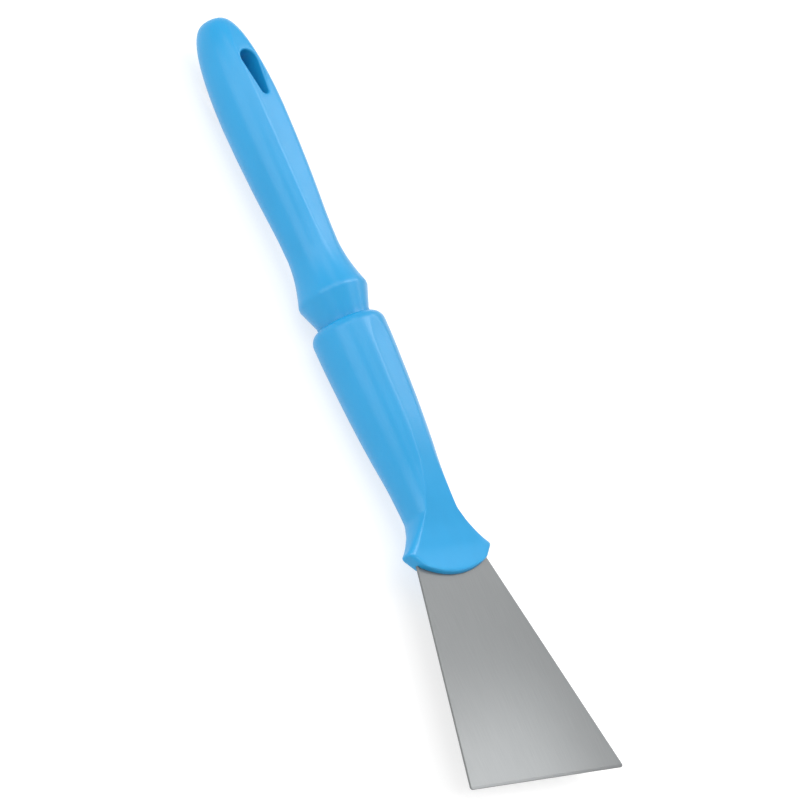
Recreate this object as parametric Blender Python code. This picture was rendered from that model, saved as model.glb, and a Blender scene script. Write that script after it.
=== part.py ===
"""A hand scraper: a steel blade held in a moulded handle, and a grip that screws into the handle's socket.

The tool lies along X with its working edge towards +X, its width along Y and the blade's front face up.
Lengths are in metres. Places along the tool are measured from the handle's mouth, where the grip goes in.
Places on the grip are measured back from there.
"""
import math

import bmesh
import bpy
from mathutils import Matrix

# Blade
BLADE_EDGE_WIDTH = 0.1000
BLADE_NECK_WIDTH = 0.0483
BLADE_REACH = 0.1014
BLADE_THICKNESS = 0.0012
BLADE_ROOT_DEPTH = 0.0110
BLADE_CORNER_RADIUS = 0.0010
GRIND_LENGTH = 0.0012
GRIND_DEPTH = 0.00035
TANG_SIDE_WALL = 0.00245
TANG_LENGTH = 0.0450
TANG_CORNER_RADIUS = 0.0040
TANG_ROOT_RADIUS = 0.0020
TANG_HOLE_RADIUS = 0.0036
TANG_HOLE_INSET = 0.0110
TANG_HOLE_SPACING = 0.0200

# Handle, with the flare that holds the blade measured up from its bottom
HANDLE_LENGTH = 0.1250
SHOULDER_RADIUS = 0.01725
SHOULDER_ROUND_LENGTH = 0.0050
MOUTH_LIP_WIDTH = 0.0004
WAIST_RADIUS = 0.01245
FLARE_LENGTH = 0.0350
TIP_HALF_WIDTH = 0.0277
TIP_HEIGHT = 0.0117
TIP_ROUND_REACH = 0.0010
FLARE_CORNER_HALF_WIDTH = 0.0214
FLARE_CORNER_HEIGHT = 0.0054
FLARE_ROUND_DEPTH = 0.0042
FLARE_FACET_HEIGHT = 0.0030

# Grip, from its end to the neck that enters the mouth, with its belly measured from its end
GRIP_LENGTH = 0.1522
BELLY_RADIUS = 0.01475
BELLY_INSET = 0.0492
GRIP_WAIST_RADIUS = 0.0121
GRIP_WAIST_PLACE = 0.0370
RIM_RADIUS = 0.01625
RIM_PLACE = 0.0146
RIM_THICKNESS = 0.0016
NECK_RADIUS = 0.0126
NECK_PLACE = 0.0030
GRIP_FLAT_DEPTH = 0.00133

# Hanging slot, a drop with its round end nearest the grip's end
SLOT_INSET = 0.0250
SLOT_LENGTH = 0.0157
SLOT_WIDE_RADIUS = 0.0049
SLOT_NARROW_RADIUS = 0.0023
SLOT_EDGE_RADIUS = 0.0010
SLOT_EDGE_LIFT = 0.0001

# Screw joint
THREAD_PITCH = 0.0050
THREAD_ROOT_RADIUS = 0.0090
THREAD_HEIGHT = 0.0016
THREAD_CREST_WIDTH = 0.0012
THREAD_FLANK_WIDTH = 0.0008
THREAD_START = 0.0050
THREAD_END_INSET = 0.0023
THREAD_RUNOUT = 0.0028
SEAT_DEPTH = 0.0030
SPIGOT_LENGTH = 0.0265
SPIGOT_CHAMFER = 0.0008

# Hollow cores that keep the walls of both mouldings even, and the plug that closes the grip's
HANDLE_CORE_RADIUS = 0.0060
HANDLE_CORE_WALL = 0.0128
GRIP_CORE_RADIUS = 0.0056
GRIP_CORE_WALL = 0.0157
CORE_DRAFT = 0.0008
PLUG_FLANGE_INSET = 0.0004
PLUG_FLANGE_THICKNESS = 0.0015
PLUG_LENGTH = 0.0090
PLUG_WALL = 0.0014
PLUG_RIB_HEIGHT = 0.0004
PLUG_RIB_WIDTH = 0.0010

# Fits
SEAT_GAP = 0.0003
RUNNING_GAP = 0.00035
SOCKET_END_GAP = 0.0019
CUT_OVERRUN = 0.0020

# Shares of a stretch (first) and of the change over it (second)
HANDLE_TAPER_SHARES = ((0, 0), (0.12, 0.01), (0.3, 0.12), (0.5, 0.3), (0.7, 0.58), (0.87, 0.88), (1, 1))
FLARE_WIDTH_SHARES = ((0, 0), (0.22, 0.02), (0.46, 0.22), (0.675, 0.48), (0.868, 0.76), (1, 1))
FLARE_DEPTH_SHARES = ((0, 0), (0.18, 0.055), (0.38, 0.47), (0.54, 0.76), (0.66, 0.9), (1, 1))
GRIP_TAPER_SHARES = ((0, 0), (0.17, 0.07), (0.33, 0.2), (0.5, 0.38), (0.67, 0.64), (0.84, 0.9), (1, 1))

# Shares of the handle's length (first) and of the facet's fall from shoulder to flare (second)
HANDLE_FACET_SHARES = (
    (0.04, 0), (0.09, 0.04), (0.16, 0.07), (0.26, 0.11), (0.36, 0.147), (0.43, 0.18), (0.49, 0.228),
    (0.57, 0.313), (0.65, 0.43), (0.715, 0.55), (0.77, 0.686), (0.825, 0.815), (0.87, 0.887),
    (0.905, 0.937), (1, 1),
)

# Shares of the handle's length (first) and the squareness of its section there (second)
SQUARENESS_SHARES = ((0.7, 0), (0.77, 0.1), (0.905, 1.5), (1, 1.5))

# Shares of the grip's length back from the mouth (first) and of the flats' depth there (second)
GRIP_FLAT_SHARES = (
    (0.17, 0), (0.24, 0.26), (0.33, 0.53), (0.49, 0.84), (0.7, 1), (0.855, 0.86), (0.905, 0.53), (0.96, 0),
)

LEAST_CREASE_SHARE = 0.22
TIP_CAP_SHARE = 0.17
BOTTOM_CAP_SHARE = 0.03
ROUND_POWER = 2
DOME_POWER = 0.3
RIM_SWEEP_POWER = 1.8
THREAD_SINK_SHARE = 0.25
THREAD_END_SHARE = 0.1
ROW_OFFSET_SHARE = 0.25

# Counts
SIDE_STEPS = 8
FLAT_STEPS = 6
SHOULDER_STEPS = 5
TAPER_STEPS = 14
FLARE_STEPS = 9
TIP_STEPS = 4
BOTTOM_STEPS = 8
DOME_STEPS = 9
GRIP_TAPER_STEPS = 9
RIM_STEPS = 7
EDGE_STEPS = 4
ARC_STEPS = 6
ROUND_STEPS = 40
THREAD_FADE_STEPS = 12
PLUG_RIBS = 2

WAIST_PLACE = HANDLE_LENGTH - FLARE_LENGTH
TIP_PLACE = HANDLE_LENGTH - TIP_HEIGHT
FLARE_CORNER_PLACE = HANDLE_LENGTH - FLARE_CORNER_HEIGHT
ROOT_PLACE = HANDLE_LENGTH - BLADE_ROOT_DEPTH
TANG_END_PLACE = ROOT_PLACE - TANG_LENGTH
TANG_HALF_WIDTH = WAIST_RADIUS - TANG_SIDE_WALL
EDGE_PLACE = HANDLE_LENGTH + BLADE_REACH
BELLY_PLACE = GRIP_LENGTH - BELLY_INSET
SLOT_WIDE_PLACE = GRIP_LENGTH - SLOT_INSET
SLOT_NARROW_PLACE = SLOT_WIDE_PLACE - SLOT_LENGTH
CONE_PLACE = RIM_PLACE - RIM_THICKNESS
THREAD_END = SPIGOT_LENGTH - THREAD_END_INSET
SPIGOT_END_RADIUS = THREAD_ROOT_RADIUS - SPIGOT_CHAMFER
SEAT_RADIUS = NECK_RADIUS + RUNNING_GAP
SOCKET_DEPTH = SPIGOT_LENGTH + SEAT_GAP + PLUG_FLANGE_THICKNESS + SOCKET_END_GAP
AXIS_HEIGHT = SHOULDER_RADIUS
MOUTH_PLACE = (GRIP_LENGTH - EDGE_PLACE) / 2


def clear_scene():
    for obj in list(bpy.data.objects):
        bpy.data.objects.remove(obj, do_unlink=True)


def make_material(name, colour, roughness, metallic):
    material = bpy.data.materials.new(name)
    material.use_nodes = True
    shader = material.node_tree.nodes["Principled BSDF"]
    shader.inputs["Base Color"].default_value = (*colour, 1.0)
    shader.inputs["Roughness"].default_value = roughness
    shader.inputs["Metallic"].default_value = metallic
    return material


def blend(start, end, share):
    return start + (end - start) * share


def spread(start, end, steps):
    return [blend(start, end, i / steps) for i in range(steps + 1)]


def curve_tangents(widths, slopes):
    """The slope at each point of a smooth curve that rises and falls only where its points do."""
    tangents = [slopes[0]]
    for i in range(1, len(slopes)):
        if slopes[i - 1] * slopes[i] <= 0:
            tangents.append(0.0)
            continue
        near = 2 * widths[i] + widths[i - 1]
        far = widths[i] + 2 * widths[i - 1]
        tangents.append((near + far) / (near / slopes[i - 1] + far / slopes[i]))
    return tangents + [slopes[-1]]


def smooth_value(points, place):
    """The value at a place on a smooth curve through (place, value) points."""
    if place <= points[0][0]:
        return points[0][1]
    if place >= points[-1][0]:
        return points[-1][1]
    widths = [far[0] - near[0] for near, far in zip(points, points[1:])]
    slopes = [(far[1] - near[1]) / width for near, far, width in zip(points, points[1:], widths)]
    tangents = curve_tangents(widths, slopes)
    i = max(k for k in range(len(slopes)) if points[k][0] <= place)
    t = (place - points[i][0]) / widths[i]
    value = blend(points[i][1], points[i + 1][1], (3 - 2 * t) * t * t)
    value += t * (1 - t) ** 2 * widths[i] * tangents[i]
    value += t * t * (t - 1) * widths[i] * tangents[i + 1]
    return value


def rounded_height(y, half_width, half_depth, power):
    """How high the rounded form stands over a point of its width."""
    share = min(1.0, abs(y) / half_width)
    return half_depth * (1 - share ** power) ** (1 / power)


def section(half_width, half_depth, facet_height, power):
    """A closed ring of (y, z): a rounded form cut off flat at the front and the back.

    The form's power is 2 where it is round or oval, and more where it is squarer.
    """
    cut_share = min(1.0, facet_height / half_depth)
    crease_share = max(LEAST_CREASE_SHARE, (1 - cut_share ** power) ** (1 / power))
    crease_rise_share = (1 - crease_share ** power) ** (1 / power)
    crease_angle = math.atan2(crease_rise_share, crease_share)
    side = []
    for angle in spread(0.0, crease_angle, SIDE_STEPS):
        reach = (math.cos(angle) ** power + math.sin(angle) ** power) ** (-1 / power)
        rise = half_depth * reach * math.sin(angle)
        side.append((half_width * reach * math.cos(angle), min(facet_height, rise)))
    flat = []
    crease = half_width * crease_share
    for y in spread(crease, -crease, FLAT_STEPS)[1:-1]:
        flat.append((y, min(facet_height, rounded_height(y, half_width, half_depth, power))))
    front = side + flat + [(-y, z) for y, z in reversed(side)]
    return front + [(y, -z) for y, z in front[-2:0:-1]]


def finish_mesh(name, mesh):
    bmesh.ops.recalc_face_normals(mesh, faces=mesh.faces[:])
    data = bpy.data.meshes.new(name)
    mesh.to_mesh(data)
    mesh.free()
    obj = bpy.data.objects.new(name, data)
    bpy.context.scene.collection.objects.link(obj)
    return obj


def skin(name, rings, tip=None):
    """A closed skin over rings of points. Its ends are flat, or the first runs to a tip."""
    mesh = bmesh.new()
    loops = [[mesh.verts.new(point) for point in ring] for ring in rings]
    count = len(loops[0])
    for near, far in zip(loops, loops[1:]):
        for i in range(count):
            j = (i + 1) % count
            mesh.faces.new((near[i], near[j], far[j], far[i]))
    if tip is None:
        mesh.faces.new(loops[0])
    else:
        point = mesh.verts.new(tip)
        for i in range(count):
            mesh.faces.new((loops[0][i], loops[0][(i + 1) % count], point))
    mesh.faces.new(loops[-1])
    return finish_mesh(name, mesh)


def turned(name, profile):
    """A solid turned about the tool's axis from (place, radius) points that start and end on the axis."""
    mesh = bmesh.new()
    loops = []
    for place, radius in profile:
        if radius == 0:
            loops.append([mesh.verts.new((place, 0, 0))])
        else:
            loops.append([mesh.verts.new((place, y, z)) for y, z in circle(radius)])
    for near, far in zip(loops, loops[1:]):
        for i in range(ROUND_STEPS):
            j = (i + 1) % ROUND_STEPS
            corners = [near[i % len(near)], near[j % len(near)], far[j % len(far)], far[i % len(far)]]
            mesh.faces.new(list(dict.fromkeys(corners)))
    return finish_mesh(name, mesh)


def circle(radius):
    angles = [2 * math.pi * i / ROUND_STEPS for i in range(ROUND_STEPS)]
    return [(radius * math.cos(angle), radius * math.sin(angle)) for angle in angles]


def prism(name, outline, low, high):
    """An (x, y) outline made solid from one height to another."""
    return skin(name, [[(x, y, z) for x, y in outline] for z in (low, high)])


def rounded_outline(corners):
    """An outline through (x, y, radius) corners, each rounded with an arc of its radius."""
    points = []
    for i, (x, y, radius) in enumerate(corners):
        if radius == 0:
            points.append((x, y))
            continue
        before = corners[i - 1]
        after = corners[(i + 1) % len(corners)]
        to_before = math.atan2(before[1] - y, before[0] - x)
        to_after = math.atan2(after[1] - y, after[0] - x)
        opening = (to_after - to_before + math.pi) % (2 * math.pi) - math.pi
        middle = to_before + opening / 2
        reach = radius / abs(math.sin(opening / 2))
        centre_x = x + reach * math.cos(middle)
        centre_y = y + reach * math.sin(middle)
        half_swing = math.copysign(math.pi - abs(opening), opening) / 2
        for swing in spread(half_swing, -half_swing, ARC_STEPS):
            angle = middle + math.pi + swing
            points.append((centre_x + radius * math.cos(angle), centre_y + radius * math.sin(angle)))
    return points


def combine(obj, other, operation):
    """Cut obj by other, join them, or keep what both share. The other is then gone."""
    modifier = obj.modifiers.new(operation.title(), "BOOLEAN")
    modifier.operation = operation
    modifier.solver = "EXACT"
    modifier.object = other
    graph = bpy.context.evaluated_depsgraph_get()
    result = bpy.data.meshes.new_from_object(obj.evaluated_get(graph))
    obj.modifiers.clear()
    obj.data = result
    bpy.data.objects.remove(other, do_unlink=True)


def add_piece(obj, axis, material, sharp_angle):
    obj.data.materials.clear()
    obj.data.materials.append(material)
    obj.data.shade_smooth()
    obj.data.set_sharp_from_angle(angle=sharp_angle)
    obj.parent = axis


def blade_half_width(place):
    slope = (BLADE_EDGE_WIDTH - BLADE_NECK_WIDTH) / 2 / BLADE_REACH
    return BLADE_NECK_WIDTH / 2 + slope * (place - HANDLE_LENGTH)


def blade_outline(end, end_radius, gap):
    """The blade and its tang in plan, up to a place, with a gap added all round."""
    root = ROOT_PLACE - gap
    tang_end = TANG_END_PLACE - gap
    tang_side = TANG_HALF_WIDTH + gap
    half = [
        (end, blade_half_width(end) + gap, end_radius),
        (root, blade_half_width(root) + gap, TANG_ROOT_RADIUS + gap),
        (root, tang_side, TANG_ROOT_RADIUS - gap),
        (tang_end, tang_side, TANG_CORNER_RADIUS + gap),
    ]
    return rounded_outline(half + [(x, -y, radius) for x, y, radius in reversed(half)])


def tang_hole_places():
    first = TANG_END_PLACE + TANG_HOLE_INSET
    return first, first + TANG_HOLE_SPACING


def upright_rod(name, place, radius):
    """A rod along Z through the tool's axis, long enough to cross the tang and its cavity."""
    outline = [(place + x, y) for x, y in circle(radius)]
    return prism(name, outline, -CUT_OVERRUN, CUT_OVERRUN)


def grind_cut(side):
    """What the grinding takes off along the edge, from the front face (1) or the back (-1)."""
    face = BLADE_THICKNESS / 2
    extra_depth = GRIND_DEPTH / GRIND_LENGTH * CUT_OVERRUN
    half = BLADE_EDGE_WIDTH / 2 + CUT_OVERRUN
    wedge = [
        (EDGE_PLACE - GRIND_LENGTH, face),
        (EDGE_PLACE + CUT_OVERRUN, face - GRIND_DEPTH - extra_depth),
        (EDGE_PLACE + CUT_OVERRUN, face + CUT_OVERRUN),
        (EDGE_PLACE - GRIND_LENGTH, face + CUT_OVERRUN),
    ]
    return skin("grind", [[(x, y, side * z) for x, z in wedge] for y in (-half, half)])


def make_blade(axis):
    outline = blade_outline(EDGE_PLACE, BLADE_CORNER_RADIUS, 0.0)
    blade = prism("blade", outline, -BLADE_THICKNESS / 2, BLADE_THICKNESS / 2)
    for place in tang_hole_places():
        combine(blade, upright_rod("tang_hole", place, TANG_HOLE_RADIUS), "DIFFERENCE")
    for side in (1, -1):
        combine(blade, grind_cut(side), "DIFFERENCE")
    steel = make_material("brushed_steel", (0.52, 0.52, 0.51), 0.38, 1.0)
    add_piece(blade, axis, steel, math.radians(12.0))


def domed_end(end, radius, direction):
    """Points of a round end to a bore, which runs along the tool (1) or back (-1)."""
    points = []
    for angle in spread(0.0, math.pi / 2, ARC_STEPS)[:-1]:
        points.append((end - direction * radius * (1 - math.sin(angle)), radius * math.cos(angle)))
    return points + [(end, 0)]


def thread_row(turn, rise_share, gap):
    """One section across the ridge, in the plane through the axis that the turn has reached.

    The ridge's foot is sunk below the thread's root. Its crest rises over the foot by a share of the
    ridge's height.
    """
    foot_radius = THREAD_ROOT_RADIUS + gap - THREAD_HEIGHT * THREAD_SINK_SHARE
    crest_radius = foot_radius + THREAD_HEIGHT * (1 + THREAD_SINK_SHARE) * rise_share
    crest_half = THREAD_CREST_WIDTH / 2 + gap
    foot_half = crest_half + THREAD_FLANK_WIDTH * (1 + THREAD_SINK_SHARE)
    profile = [
        (-foot_half, foot_radius),
        (-crest_half, crest_radius),
        (crest_half, crest_radius),
        (foot_half, foot_radius),
    ]
    angle = 2 * math.pi * turn
    middle = THREAD_PITCH * turn
    return [(middle + along, r * math.cos(angle), r * math.sin(angle)) for along, r in profile]


def thread_ridge(name, start, end, gap):
    """A right-hand helical ridge between two places, which rises out of the root and sinks back into it.

    The gap widens it all round, for cutting the groove that it runs in.
    """
    first = math.ceil(start / THREAD_PITCH * ROUND_STEPS)
    last = math.floor(end / THREAD_PITCH * ROUND_STEPS)
    rings = []
    for k in range(first, last + 1):
        fade_share = min(1.0, min(k - first, last - k) / THREAD_FADE_STEPS)
        rise_share = max(THREAD_END_SHARE, fade_share)
        rings.append(thread_row((k + ROW_OFFSET_SHARE) / ROUND_STEPS, rise_share, gap))
    return skin(name, rings)


def bottom_arc_radius():
    sag = HANDLE_LENGTH - FLARE_CORNER_PLACE
    return (FLARE_CORNER_HALF_WIDTH ** 2 + sag ** 2) / (2 * sag)


def sharp_handle_half_width(place):
    """The handle's outline in plan, with the flare's tips left sharp."""
    if place <= SHOULDER_ROUND_LENGTH:
        rise = 1 - place / SHOULDER_ROUND_LENGTH
        mouth_radius = SEAT_RADIUS + MOUTH_LIP_WIDTH
        return blend(mouth_radius, SHOULDER_RADIUS, math.sqrt(1 - rise ** 2))
    if place <= WAIST_PLACE:
        return blend(SHOULDER_RADIUS, WAIST_RADIUS, smooth_value(HANDLE_TAPER_SHARES, place / WAIST_PLACE))
    if place <= TIP_PLACE:
        share = (place - WAIST_PLACE) / (TIP_PLACE - WAIST_PLACE)
        return blend(WAIST_RADIUS, TIP_HALF_WIDTH, smooth_value(FLARE_WIDTH_SHARES, share))
    if place <= FLARE_CORNER_PLACE:
        share = (place - TIP_PLACE) / (FLARE_CORNER_PLACE - TIP_PLACE)
        return blend(TIP_HALF_WIDTH, FLARE_CORNER_HALF_WIDTH, share)
    radius = bottom_arc_radius()
    return math.sqrt(radius ** 2 - (place - HANDLE_LENGTH + radius) ** 2)


def handle_half_width(place):
    """The handle's outline in plan, with the flare's tips rounded."""
    if abs(place - TIP_PLACE) >= TIP_ROUND_REACH:
        return sharp_handle_half_width(place)
    before = sharp_handle_half_width(TIP_PLACE - TIP_ROUND_REACH)
    after = sharp_handle_half_width(TIP_PLACE + TIP_ROUND_REACH)
    share = (place - TIP_PLACE + TIP_ROUND_REACH) / (2 * TIP_ROUND_REACH)
    return blend(blend(before, TIP_HALF_WIDTH, share), blend(TIP_HALF_WIDTH, after, share), share)


def handle_half_depth(place):
    if place <= WAIST_PLACE:
        return handle_half_width(place)
    share = (place - WAIST_PLACE) / (HANDLE_LENGTH - WAIST_PLACE)
    return blend(WAIST_RADIUS, FLARE_ROUND_DEPTH, smooth_value(FLARE_DEPTH_SHARES, share))


def handle_section(place):
    share = place / HANDLE_LENGTH
    facet_height = blend(SHOULDER_RADIUS, FLARE_FACET_HEIGHT, smooth_value(HANDLE_FACET_SHARES, share))
    power = ROUND_POWER + smooth_value(SQUARENESS_SHARES, share)
    return section(handle_half_width(place), handle_half_depth(place), facet_height, power)


def handle_places():
    """Where the handle's sections are taken, from the mouth to the bottom of the flare."""
    shoulder = [SHOULDER_ROUND_LENGTH * (1 - math.cos(a)) for a in spread(0.0, math.pi / 2, SHOULDER_STEPS)]
    taper = spread(SHOULDER_ROUND_LENGTH, WAIST_PLACE, TAPER_STEPS)
    flare = spread(WAIST_PLACE, TIP_PLACE - TIP_ROUND_REACH, FLARE_STEPS)
    tip = spread(TIP_PLACE - TIP_ROUND_REACH, TIP_PLACE + TIP_ROUND_REACH, TIP_STEPS)
    radius = bottom_arc_radius()
    widest = math.asin(FLARE_CORNER_HALF_WIDTH / radius)
    swings = spread(widest, widest * BOTTOM_CAP_SHARE, BOTTOM_STEPS)
    bottom = [HANDLE_LENGTH - radius * (1 - math.cos(swing)) for swing in swings]
    return shoulder + taper[1:] + flare[1:] + tip[1:] + bottom


def socket_cut():
    """The seat for the grip's neck, the bore inside the thread, and the blind core below it."""
    bore_radius = THREAD_ROOT_RADIUS + RUNNING_GAP
    mouth_chamfer = THREAD_HEIGHT + RUNNING_GAP
    profile = [
        (-CUT_OVERRUN, 0),
        (-CUT_OVERRUN, SEAT_RADIUS),
        (SEAT_DEPTH, SEAT_RADIUS),
        (SEAT_DEPTH, bore_radius + mouth_chamfer),
        (SEAT_DEPTH + mouth_chamfer, bore_radius),
        (SOCKET_DEPTH, bore_radius),
        (SOCKET_DEPTH, HANDLE_CORE_RADIUS),
    ]
    core_end = TANG_END_PLACE - HANDLE_CORE_WALL
    return turned("socket", profile + domed_end(core_end, HANDLE_CORE_RADIUS - CORE_DRAFT, 1))


def tang_cavity():
    """The pocket for the blade's root and tang, with a peg left standing for each hole of the tang."""
    half = BLADE_THICKNESS / 2 + SEAT_GAP
    outline = blade_outline(HANDLE_LENGTH + CUT_OVERRUN, 0, SEAT_GAP)
    cavity = prism("tang_cavity", outline, -half, half)
    for place in tang_hole_places():
        combine(cavity, upright_rod("peg", place, TANG_HOLE_RADIUS - SEAT_GAP), "DIFFERENCE")
    return cavity


def make_handle(axis):
    rings = []
    for place in handle_places():
        rings.append([(place, y, z) for y, z in handle_section(place)])
    handle = skin("scraper_handle", rings)
    combine(handle, socket_cut(), "DIFFERENCE")
    groove = thread_ridge("groove", SEAT_DEPTH - THREAD_PITCH, THREAD_END + THREAD_RUNOUT, RUNNING_GAP)
    combine(handle, groove, "DIFFERENCE")
    combine(handle, tang_cavity(), "DIFFERENCE")
    plastic = make_material("blue_handle_plastic", (0.11, 0.47, 0.84), 0.42, 0.0)
    add_piece(handle, axis, plastic, math.radians(30.0))


def grip_radius(place):
    if place >= BELLY_PLACE:
        share = (place - BELLY_PLACE) / (GRIP_LENGTH - BELLY_PLACE)
        return BELLY_RADIUS * (1 - share ** 2) ** DOME_POWER
    if place >= GRIP_WAIST_PLACE:
        share = (BELLY_PLACE - place) / (BELLY_PLACE - GRIP_WAIST_PLACE)
        return blend(BELLY_RADIUS, GRIP_WAIST_RADIUS, smooth_value(GRIP_TAPER_SHARES, share))
    if place >= RIM_PLACE:
        share = (GRIP_WAIST_PLACE - place) / (GRIP_WAIST_PLACE - RIM_PLACE)
        return blend(GRIP_WAIST_RADIUS, RIM_RADIUS, share ** RIM_SWEEP_POWER)
    if place >= CONE_PLACE:
        return RIM_RADIUS
    if place >= NECK_PLACE:
        return blend(RIM_RADIUS, NECK_RADIUS, (CONE_PLACE - place) / (CONE_PLACE - NECK_PLACE))
    return NECK_RADIUS


def grip_facet_height(place):
    return grip_radius(place) - GRIP_FLAT_DEPTH * smooth_value(GRIP_FLAT_SHARES, place / GRIP_LENGTH)


def grip_places():
    """Where the grip's sections are taken, from just inside its end to the neck's face in the socket."""
    end = []
    for angle in spread(math.asin(TIP_CAP_SHARE), math.pi / 2, DOME_STEPS):
        reach_share = math.sqrt(1 - math.sin(angle) ** (1 / DOME_POWER))
        end.append(blend(BELLY_PLACE, GRIP_LENGTH, reach_share))
    taper = spread(BELLY_PLACE, GRIP_WAIST_PLACE, GRIP_TAPER_STEPS)
    sweep = spread(GRIP_WAIST_PLACE, RIM_PLACE, RIM_STEPS)
    return end + taper[1:] + sweep[1:] + [CONE_PLACE, NECK_PLACE, SEAT_GAP - SEAT_DEPTH]


def grip_core():
    profile = [
        (SPIGOT_LENGTH + CUT_OVERRUN, 0),
        (SPIGOT_LENGTH + CUT_OVERRUN, GRIP_CORE_RADIUS),
        (SPIGOT_LENGTH - PLUG_LENGTH - CUT_OVERRUN, GRIP_CORE_RADIUS),
    ]
    core_end = GRIP_CORE_WALL + SLOT_NARROW_RADIUS - SLOT_NARROW_PLACE
    return turned("grip_core", profile + domed_end(core_end, GRIP_CORE_RADIUS - CORE_DRAFT, -1))


def slot_outline(growth):
    """The slot in plan: two arcs and the two lines that touch both."""
    touch = math.acos((SLOT_WIDE_RADIUS - SLOT_NARROW_RADIUS) / SLOT_LENGTH)
    wide = SLOT_WIDE_RADIUS + growth
    narrow = SLOT_NARROW_RADIUS + growth
    points = []
    for angle in spread(touch, 2 * math.pi - touch, 4 * ARC_STEPS):
        points.append((-SLOT_WIDE_PLACE + wide * math.cos(angle), wide * math.sin(angle)))
    for angle in spread(-touch, touch, 2 * ARC_STEPS):
        points.append((-SLOT_NARROW_PLACE + narrow * math.cos(angle), narrow * math.sin(angle)))
    return points


def slot_rim_ring(side, angle):
    """One ring of the slot's rounded edge, from inside the slot (angle 0) to the flat (a quarter turn)."""
    growth = SLOT_EDGE_RADIUS * (1 - math.cos(angle))
    depth = SLOT_EDGE_RADIUS * (1 - math.sin(angle))
    ring = []
    for x, y in slot_outline(growth):
        radius = grip_radius(-x)
        surface = min(grip_facet_height(-x), rounded_height(y, radius, radius, ROUND_POWER))
        ring.append((x, y, side * (surface + SLOT_EDGE_LIFT - depth)))
    return ring


def slot_cut():
    """The hanging slot, with an edge that follows the grip's flats and is rounded into them."""
    outside = BELLY_RADIUS + CUT_OVERRUN
    wide_outline = slot_outline(SLOT_EDGE_RADIUS)
    rings = [[(x, y, -outside) for x, y in wide_outline]]
    rings += [slot_rim_ring(-1, angle) for angle in spread(math.pi / 2, 0.0, EDGE_STEPS)]
    rings += [slot_rim_ring(1, angle) for angle in spread(0.0, math.pi / 2, EDGE_STEPS)]
    rings.append([(x, y, outside) for x, y in wide_outline])
    return skin("hanging_slot", rings)


def grip_rings():
    """The grip's outer form, from its end to the end of the spigot that reaches into the socket."""
    rings = []
    for place in grip_places():
        radius = grip_radius(place)
        ring = section(radius, radius, grip_facet_height(place), ROUND_POWER)
        rings.append([(-place, y, z) for y, z in ring])
    spigot = [
        (SEAT_DEPTH - SEAT_GAP, THREAD_ROOT_RADIUS),
        (SPIGOT_LENGTH - SPIGOT_CHAMFER, THREAD_ROOT_RADIUS),
        (SPIGOT_LENGTH, SPIGOT_END_RADIUS),
    ]
    for place, radius in spigot:
        rings.append([(place, y, z) for y, z in section(radius, radius, radius, ROUND_POWER)])
    return rings


def make_grip(axis):
    grip = skin("grip_handle", grip_rings(), tip=(-GRIP_LENGTH, 0, 0))
    combine(grip, thread_ridge("ridge", THREAD_START, THREAD_END, 0.0), "UNION")
    combine(grip, grip_core(), "DIFFERENCE")
    combine(grip, slot_cut(), "DIFFERENCE")
    plastic = make_material("blue_grip_plastic", (0.12, 0.49, 0.86), 0.42, 0.0)
    add_piece(grip, axis, plastic, math.radians(30.0))


def make_core_plug(axis):
    """A hollow stopper with sealing ribs, and a flange that seats on the spigot's end."""
    seat = SPIGOT_LENGTH + SEAT_GAP
    tail = seat - PLUG_LENGTH
    flange_radius = SPIGOT_END_RADIUS - PLUG_FLANGE_INSET
    rib_radius = GRIP_CORE_RADIUS - SEAT_GAP
    stem_radius = rib_radius - PLUG_RIB_HEIGHT
    profile = [
        (seat + PLUG_FLANGE_THICKNESS, 0),
        (seat + PLUG_FLANGE_THICKNESS, flange_radius),
        (seat, flange_radius),
        (seat, stem_radius),
    ]
    for middle in spread(seat, tail, PLUG_RIBS + 1)[1:-1]:
        profile.append((middle + PLUG_RIB_WIDTH / 2, stem_radius))
        profile.append((middle, rib_radius))
        profile.append((middle - PLUG_RIB_WIDTH / 2, stem_radius))
    profile += [
        (tail, stem_radius),
        (tail, stem_radius - PLUG_WALL),
        (seat - PLUG_WALL, stem_radius - PLUG_WALL),
        (seat - PLUG_WALL, 0),
    ]
    plug = turned("core_plug", profile)
    plastic = make_material("grey_plug_plastic", (0.32, 0.34, 0.36), 0.5, 0.0)
    add_piece(plug, axis, plastic, math.radians(30.0))


def make_axis():
    """The tool's axis at the mouth, about which the grip screws."""
    axis = bpy.data.objects.new("tool_axis", None)
    bpy.context.scene.collection.objects.link(axis)
    axis.matrix_world = Matrix.Translation((MOUTH_PLACE, 0, AXIS_HEIGHT))
    return axis


def main():
    clear_scene()
    axis = make_axis()
    make_blade(axis)
    make_handle(axis)
    make_grip(axis)
    make_core_plug(axis)
    bpy.context.view_layer.update()


main()
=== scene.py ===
"""Looks of a hand scraper: two blue mouldings with soft creases, a satin steel blade and a pale studio.

Pieces are modelled about the tool's axis, with x measured from the handle's mouth towards the blade,
y across the blade and z out of its front face, and are then placed at the mouth. Lengths are in metres.
"""
import math

import bmesh
import bpy
from mathutils import Matrix, Vector


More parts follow.
